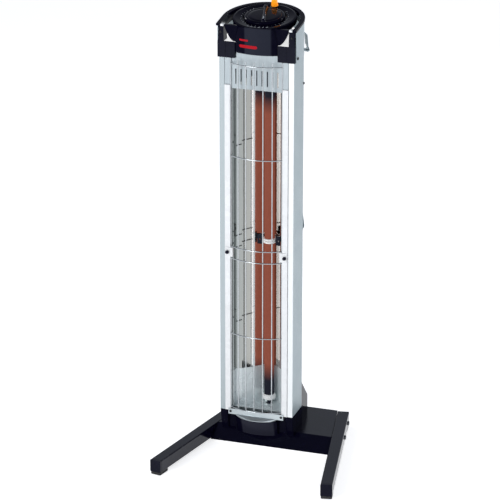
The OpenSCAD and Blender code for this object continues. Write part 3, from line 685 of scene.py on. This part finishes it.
def dial_disc():
    """The dial's disc: a fluted rim, a groove inside it and a bore for the shaft."""
    bm = bmesh.new()
    r = DIAL_R
    profile = [
        (0, 2.1), (3.05, 2.1), (3.05, -4.9), (r - 1.2, -4.9), (r - 0.4, -4.4), (r - 0.1, -3.6),
        (r - 0.1, 1.2), (r - 0.5, 2.4), (r - 1.6, 3.5), (r - 3.4, 4.3), (r - 6.0, 4.75),
        (r - 8.0, 4.8), (r - 8.6, 4.3), (r - 9.4, 4.1), (r - 10.2, 4.3), (r - 10.8, 4.6),
        (r - 20, 4.9), (r - 35, 5.2), (0, 5.4),
    ]
    flutes, flute_depth, segments = 72, 0.006, 432

    def fluted(angle, radius, height):
        if radius > r - 0.6 and -4 < height < 1.6:
            return 1 - flute_depth * (0.5 + 0.5 * math.cos(flutes * angle))
        return 1.0

    lathe(bm, profile, DIAL_FRAME, segments, wave=fluted)
    add_piece("dial_disc", bm, "deep_black_plastic", "dial", ("control_knob",))


GRIP_HALF_LENGTH = 49.6
GRIP_HALF_WIDTH = 6.9
GRIP_STEPS = 44
GRIP_END = 7.0
LUG_AT, LUG_SPREAD = 41, 6.5
WAIST_AT, WAIST_SPREAD, WAIST_DEPTH = 2, 22.0, 0.22
# Share of the half width, and of the height, at each level of the grip's outline
GRIP_OUTLINE = ((1, 0), (0.80, 0.45), (0.60, 0.78), (0.42, 0.94), (0.2, 1))


def dial_grip():
    """A waisted grip bar with a soft crown, and a raised lug at its rear end."""
    bm = bmesh.new()
    sections = []
    for k in range(GRIP_STEPS + 1):
        v = -GRIP_HALF_LENGTH + 2 * GRIP_HALF_LENGTH * k / GRIP_STEPS
        end = min(1.0, (GRIP_HALF_LENGTH - abs(v)) / GRIP_END)
        round_off = math.sqrt(max(0.0, 1 - (1 - end) ** 2))
        lug = math.exp(-((v - LUG_AT) / LUG_SPREAD) ** 2)
        waist = 1 - WAIST_DEPTH * math.exp(-((v - WAIST_AT) / WAIST_SPREAD) ** 2)
        half = GRIP_HALF_WIDTH * waist * (0.35 + 0.65 * round_off) + 1.2 * lug
        top = 4.4 + 8.4 * (0.25 + 0.75 * round_off) + 0.9 * lug
        low = DIAL_TOP - 0.6
        outline = [(-half * side, low + (top - low) * level) for side, level in GRIP_OUTLINE]
        outline.insert(1, (-half * 0.97, low + 1.2))
        outline += [(-x, z) for x, z in reversed(outline)]
        sections.append([(x, v, z) for x, z in outline])
    loft(bm, sections, DIAL_FRAME @ GRIP_TURN)
    add_piece("dial_grip", bm, "black_plastic", "dial", ("control_knob",))


def dial_pointer():
    """Pale inlaid pointer on the front end of the grip."""
    bm = bmesh.new()
    sections = [rounded_section(1.3 * w, 7.5 * w, 1.2 * w, z)
                for w, z in ((1.0, 10.5), (1.0, 13.15), (0.86, 13.3))]
    place = DIAL_FRAME @ GRIP_TURN @ Matrix.Translation(Vector((0, -36 * MM, 0)))
    loft(bm, sections, place)
    add_piece("dial_pointer", bm, "print_grey", "dial", ("control_knob",))


dial_disc()
dial_grip()
dial_pointer()

# ---------------------------------------------------------------------------------------------
# Marks on the scale ring
# ---------------------------------------------------------------------------------------------

RING_IN, RING_IN_Z = 57.5, -2.2
RING_OUT, RING_OUT_Z = 79.0, 0.8
MARK_SUNK, MARK_PROUD = 0.1, 0.18


def ring_point(radius, angle, lift):
    """A point on the ring's sloping top, raised by lift; all in mm."""
    slope = (RING_OUT_Z - RING_IN_Z) / (RING_OUT - RING_IN)
    z = RING_IN_Z + (radius - RING_IN) * slope + lift
    return DIAL_FRAME @ (Vector((radius * math.cos(angle), radius * math.sin(angle), z)) * MM)


def ring_mark(bm, r0, r1, angle, half_width, steps=1):
    """A thin printed mark that follows the ring's slope."""
    cells = []
    for k in range(steps + 1):
        row = []
        for r in (r0, r1):
            side = half_width / r
            a = angle - side + 2 * side * k / steps
            row.append((bm.verts.new(ring_point(r, a, -MARK_SUNK)),
                        bm.verts.new(ring_point(r, a, MARK_PROUD))))
        cells.append(row)
    for (a0, a1), (b0, b1) in zip(cells, cells[1:]):
        bm.faces.new((a0[1], a1[1], b1[1], b0[1]))
        bm.faces.new((a0[0], b0[0], b1[0], a1[0]))
        bm.faces.new((a0[0], a0[1], b0[1], b0[0]))
        bm.faces.new((a1[0], b1[0], b1[1], a1[1]))
    for cell, flip in ((cells[0], False), (cells[-1], True)):
        quad = (cell[0][0], cell[1][0], cell[1][1], cell[0][1])
        bm.faces.new(quad[::-1] if flip else quad)


def scale_marks():
    """Plain ticks around the dial, and short bars along the ring's front."""
    front = -90
    ticks, tick_step, long_every = 28, 10, 9
    bar_lengths, bar_step = (3.0, 4.4, 2.4, 5.2, 3.6, 4.6), 8.4
    bm = bmesh.new()
    for k in range(ticks):
        angle = math.radians(front - 135 + tick_step * k)
        long_mark = k % long_every == 0
        ring_mark(bm, 61.0, 66.0 if long_mark else 63.6, angle, 0.55 if long_mark else 0.35)
    for k, length in enumerate(bar_lengths):
        angle = math.radians(front - 19 + bar_step * k)
        ring_mark(bm, 70.5, 73.6, angle, length * 0.62, steps=4)
    add_piece("scale_marks", bm, "print_grey")


scale_marks()

# ---------------------------------------------------------------------------------------------
# Plain printed bars on the front panel
# ---------------------------------------------------------------------------------------------


def surface_of(node):
    """A CAD node's faces, to cast rays at."""
    mesh = frame["nodes"][node].data
    points = [v.co for v in mesh.vertices]
    return BVHTree.FromPolygons(points, [p.vertices for p in mesh.polygons])


BAR_COLUMNS = 28
BAR_SUNK, BAR_PROUD = 0.1, 0.22


def printed_bar(name, x0, x1, z0, z1):
    """A thin bar with round ends that lies on the bowed front panel."""
    panel = surface_of("control_housing")
    bm = bmesh.new()
    radius = (z1 - z0) / 2
    grid = []
    for k in range(BAR_COLUMNS + 1):
        x = x0 + (x1 - x0) * (0.5 - 0.5 * math.cos(math.pi * k / BAR_COLUMNS))
        edge = min(x - x0, x1 - x)
        half = radius
        if edge <= radius:
            half = math.sqrt(max(0.02, radius ** 2 - (radius - edge) ** 2))
        column = []
        for z in (-half, -half / 2, 0, half / 2, half):
            start = col(x, -60, (z0 + z1) / 2 + z)
            hit, normal, _, _ = panel.ray_cast(start, Vector((0, 1, 0)))
            out = normal if normal.y < 0 else -normal
            column.append((bm.verts.new(hit - out * BAR_SUNK * MM),
                           bm.verts.new(hit + out * BAR_PROUD * MM)))
        grid.append(column)
    for a, b in zip(grid, grid[1:]):
        for j in range(4):
            bm.faces.new((a[j][1], b[j][1], b[j + 1][1], a[j + 1][1]))
            bm.faces.new((a[j][0], a[j + 1][0], b[j + 1][0], b[j][0]))
        bm.faces.new((a[0][0], b[0][0], b[0][1], a[0][1]))
        bm.faces.new((a[4][0], a[4][1], b[4][1], b[4][0]))
    for column in (grid[0], grid[-1]):
        for j in range(4):
            bm.faces.new((column[j][0], column[j][1], column[j + 1][1], column[j + 1][0]))
    add_piece(name, bm, "print_red")


printed_bar("front_print_upper", -45, -19, 1144.5, 1149.5)
printed_bar("front_print_lower", -45, 6, 1126.5, 1134.5)

# ---------------------------------------------------------------------------------------------
# Tips of the carrying band, white as a painted highlight
# ---------------------------------------------------------------------------------------------


TIP_X, TIP_Y = 93.8, 2.2
TIP_HALF_X, TIP_HALF_Y, TIP_RADIUS = 4.7, 6.6, 1.5


def highlight_cap(name, side):
    """Cap on the front end of the band over its post, white as a painted highlight on the band's end."""
    _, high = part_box("left_corner_block" if side < 0 else "right_corner_block")
    top = high.z / MM + 6.2
    bm = bmesh.new()
    sections = []
    for drop, inset in ((5.9, 0.6), (5.5, 0.0), (1.4, 0.0), (0.5, 0.4), (0, 1.3)):
        sections.append(rounded_section(TIP_HALF_X - inset, TIP_HALF_Y - inset,
                                        TIP_RADIUS - inset * 0.5, top - drop, 4))
    loft(bm, sections, Matrix.Translation(col(side * TIP_X, TIP_Y, 0)))
    # The cap's white is a painted highlight.
    add_piece(name, bm, "white_trim")


highlight_cap("left_handle_tip", -1)
highlight_cap("right_handle_tip", 1)

# ---------------------------------------------------------------------------------------------
# Pilot lamp
# ---------------------------------------------------------------------------------------------


def lamp_lens():
    """Ribbed amber lens over the pilot bulb."""
    low, high = islands("pilot_bulb")[0]
    bulb = DIAL_FRAME.inverted() @ ((low + high) / 2)
    place = DIAL_FRAME @ Matrix.Translation(Vector((bulb.x, bulb.y, 0)))
    outer = [(7.8, 3.45), (9.2, 3.45), (9.3, 5), (8.8, 9), (8.2, 15), (7.5, 22), (6.9, 25.5),
             (5.9, 28.0), (4.2, 29.7), (2.0, 30.5), (0, 30.7)]
    inner = [(0, 29.4), (2.0, 29.1), (3.8, 28.2), (5.1, 26.4), (5.9, 23), (6.8, 15), (7.4, 9),
             (7.8, 3.45)]
    rib_count, rib_depth, segments = 18, 0.035, 144

    def ribs(angle, radius, level):
        if 4 < level < 27 and radius > 4:
            return 1 - rib_depth * (0.5 + 0.5 * math.cos(rib_count * angle))
        return 1.0

    bm = bmesh.new()
    lathe(bm, outer + inner, place, segments, wave=ribs)
    add_piece("lamp_lens", bm, "amber_lens", stands_for=("pilot_lens",))


lamp_lens()

# ---------------------------------------------------------------------------------------------
# Screws and bolts
# ---------------------------------------------------------------------------------------------


def outward(box):
    """The side of the column that a screw's solid stands out of."""
    low, high = box
    size = high - low
    if size.y < min(size.x, size.z) or abs(size.x - size.z) < 1e-4:
        return Vector((0, -1, 0))
    return Vector((1, 0, 0)) if (low.x + high.x) / 2 > COL_X else Vector((-1, 0, 0))


FRONT_HEAD_HEIGHT, SIDE_HEAD_HEIGHT = 2.0, 2.6


def screws(node, names):
    """Puts a detailed head on each solid of a screw node, in order from left to right."""
    for name, box in zip(names, islands(node)):
        low, high = box
        axis = outward(box)
        middle = (low + high) / 2
        radius = (high.z - low.z) / 2 / MM
        if axis.y:
            tip = Vector((middle.x, low.y, middle.z))
        else:
            tip = Vector((high.x if axis.x > 0 else low.x, middle.y, middle.z))
        height = FRONT_HEAD_HEIGHT if axis.y else SIDE_HEAD_HEIGHT
        bm = bmesh.new()
        pan_head(bm, axis_place(tip - axis * height * MM, axis), radius, height)
        add_piece(name, bm, "black_screws", stands_for=(node,))


screws("head_screws", ("left_cover_screw", "left_post_screw",
                       "right_post_screw", "right_cover_screw"))
screws("trim_screws", ("left_side_screw", "left_apron_screw",
                       "right_apron_screw", "right_side_screw"))


def thumb_screws():
    """Knurled screws that hold the guard's clips."""
    head = [(0, 0), (4.2, 0), (4.9, 0.7), (5.0, 1.2), (5.0, 4.8), (4.6, 5.6), (3.8, 6.2),
            (2.6, 6.45), (2.3, 6.1), (0, 5.9)]
    shank = [(0, -8), (1.6, -8), (1.95, -7.6), (1.95, 0), (0, 0)]
    knurls, knurl_depth = 24, 0.05

    def knurled(angle, radius, height):
        if radius > 4.8:
            return 1 - knurl_depth * (0.5 + 0.5 * math.cos(knurls * angle))
        return 1.0

    names = ("left_thumb_screw", "right_thumb_screw")
    for name, (low, high) in zip(names, islands("guard_thumb_screws")):
        middle = (low + high) / 2
        seat = Vector((middle.x, low.y + 6.5 * MM, middle.z))
        place = axis_place(seat, (0, -1, 0))
        bm = bmesh.new()
        lathe(bm, head, place, 144, wave=knurled)
        lathe(bm, shank, place, 32)
        add_piece(name, bm, "black_plastic", stands_for=("guard_thumb_screws",))


thumb_screws()


BOLT_HEAD_RADIUS = 6.5
HEX_HEAD = [(0, -3.95), (6.2, -3.95), (6.5, -3.7), (6.5, -0.9), (6.1, -0.4), (5.2, 0), (0, 0)]


def leg_bolt_pieces():
    """Hexagon-head bolts through the legs."""
    boxes = islands("leg_bolts")
    left = sorted((b for b in boxes if b[0].x + b[1].x < 0), key=lambda b: b[0].y)
    right = sorted((b for b in boxes if b[0].x + b[1].x > 0), key=lambda b: b[0].y)
    names = ("left_leg_bolt_front", "left_leg_bolt_rear",
             "right_leg_bolt_front", "right_leg_bolt_rear")
    for name, box in zip(names, left + right):
        side = -1 if box in left else 1
        leg = frame["nodes"]["left_leg" if side < 0 else "right_leg"].data
        far = max((v.co for v in leg.vertices), key=lambda c: (c.y, side * c.x))
        near = max((v.co for v in leg.vertices), key=lambda c: (-c.y, side * c.x))
        along = Vector((far.x - near.x, far.y - near.y, 0)).normalized()
        axis = Vector((along.y, -along.x, 0)) * (1 if along.y * side > 0 else -1)
        low, high = box
        middle = (low + high) / 2
        lean = abs(axis.y) / abs(axis.x)
        half = (high.x - low.x) / 2 / abs(axis.x) - BOLT_HEAD_RADIUS * lean * MM
        place = axis_place(middle + axis * half, axis)
        end = -(2 * half / MM - 8) - 4
        shank = [(0, end), (3.4, end), (3.95, end + 0.7), (3.95, -4.2), (0, -4.2)]
        bm = bmesh.new()
        lathe(bm, HEX_HEAD, place @ Matrix.Rotation(math.radians(30), 4, "Z"), 6)
        lathe(bm, shank, place, 32)
        add_piece(name, bm, "dark_steel", stands_for=("leg_bolts",))


leg_bolt_pieces()

# ---------------------------------------------------------------------------------------------
# Rubber feet
# ---------------------------------------------------------------------------------------------


LEG_END = 12 * MM


def leg_splay(side):
    """Angle of a leg's line from straight ahead, through the middles of its front and rear ends."""
    leg = [v.co for v in frame["nodes"]["left_leg" if side < 0 else "right_leg"].data.vertices]
    front = [p for p in leg if p.y < min(q.y for q in leg) + LEG_END]
    rear = [p for p in leg if p.y > max(q.y for q in leg) - LEG_END]
    middle = [sum((p.x for p in part)) / len(part) for part in (front, rear)]
    depth = [sum((p.y for p in part)) / len(part) for part in (front, rear)]
    return -math.atan2(middle[1] - middle[0], depth[1] - depth[0])


FOOT_GROOVES = 3
FOOT_CORNER = 3.0


def foot_piece(node):
    """A ribbed rubber foot in its CAD node's space, turned with the leg."""
    mesh = frame["nodes"][node].data
    low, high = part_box(node)
    middle = Vector(((low.x + high.x) / 2, (low.y + high.y) / 2, 0))
    turn = Matrix.Rotation(leg_splay(-1 if middle.x < 0 else 1), 4, "Z")
    place = Matrix.Translation(middle) @ turn
    inverse = place.inverted()
    local = [inverse @ v.co for v in mesh.vertices]
    half_x = max(abs(p.x) for p in local) / MM
    half_y = max(abs(p.y) for p in local) / MM
    levels = FOOT_GROOVES * 4
    sections = []
    for k in range(levels + 1):
        inset = 0.9 if k == 0 else 0.55 if k % 4 == 2 else 0.0
        z = high.z / MM * k / levels
        sections.append(rounded_section(half_x - inset, half_y - inset, FOOT_CORNER, z, 4))
    bm = bmesh.new()
    loft(bm, sections, place)
    add_piece(node + "_pad", bm, "rubber", stands_for=(node,))


for foot in ("left_front_foot", "right_front_foot", "left_rear_foot", "right_rear_foot"):
    foot_piece(foot)

# ---------------------------------------------------------------------------------------------
# Floor and light
# ---------------------------------------------------------------------------------------------


FLOOR_HALF = 20.0


def add_floor():
    h = FLOOR_HALF
    mesh = bpy.data.meshes.new("floor")
    mesh.from_pydata([(-h, -h, 0), (h, -h, 0), (h, h, 0), (-h, h, 0)], [], [(0, 1, 2, 3)])
    floor = bpy.data.objects.new("floor", mesh)
    n = Nodes("pale_floor")
    plain_variation(n, (0.88, 0.88, 0.885), 0.01, 1.5)
    n.set(Roughness=0.8, Specular_IOR_Level=0.1)
    n.set(Emission_Color=(1, 1, 1, 1), Emission_Strength=FLOOR_GLOW)
    mesh.materials.append(n.material)
    bpy.context.scene.collection.objects.link(floor)


# Name, place, the point it faces, its width and height in metres, its power in watts
LIGHTS = (
    ("key", (-1.6, -3.4, 1.9), (0, 0, 0.6), (1.4, 2.4), 66),
    ("left_strip", (-2.4, 1.4, 2.3), (0, 0, 1.0), (0.12, 1.4), 22),
    ("right_strip", (2.3, 1.9, 2.2), (0, 0, 1.0), (0.12, 1.4), 22),
)


def add_area_light(name, place, target, size, power):
    data = bpy.data.lights.new(name, "AREA")
    data.shape = "RECTANGLE"
    data.size, data.size_y = size
    data.energy = power
    light = bpy.data.objects.new(name, data)
    light.location = place
    back = Vector(place) - Vector(target)
    light.rotation_euler = back.to_track_quat("Z", "Y").to_euler()
    bpy.context.scene.collection.objects.link(light)


# The studio's brightness from the horizon up: part of the way, then colour
SKY = ((0.0, (0.78, 0.81, 0.87)), (0.38, (0.46, 0.49, 0.54)), (0.75, (0.14, 0.15, 0.18)))


def add_world():
    world = bpy.data.worlds.new("studio")
    world.use_nodes = True
    tree = world.node_tree
    background = tree.nodes["Background"]
    coords = tree.nodes.new("ShaderNodeTexCoord")
    split = tree.nodes.new("ShaderNodeSeparateXYZ")
    ramp = tree.nodes.new("ShaderNodeValToRGB")
    elements = ramp.color_ramp.elements
    elements.new(0.5)
    for element, (place, colour) in zip(elements, SKY):
        element.position = place
        element.color = (*colour, 1.0)
    tree.links.new(coords.outputs["Generated"], split.inputs["Vector"])
    tree.links.new(split.outputs["Z"], ramp.inputs["Fac"])
    tree.links.new(ramp.outputs["Color"], background.inputs["Color"])
    bpy.context.scene.world = world


add_floor()
add_world()
for light in LIGHTS:
    add_area_light(*light)
bpy.context.scene.view_settings.view_transform = "Standard"
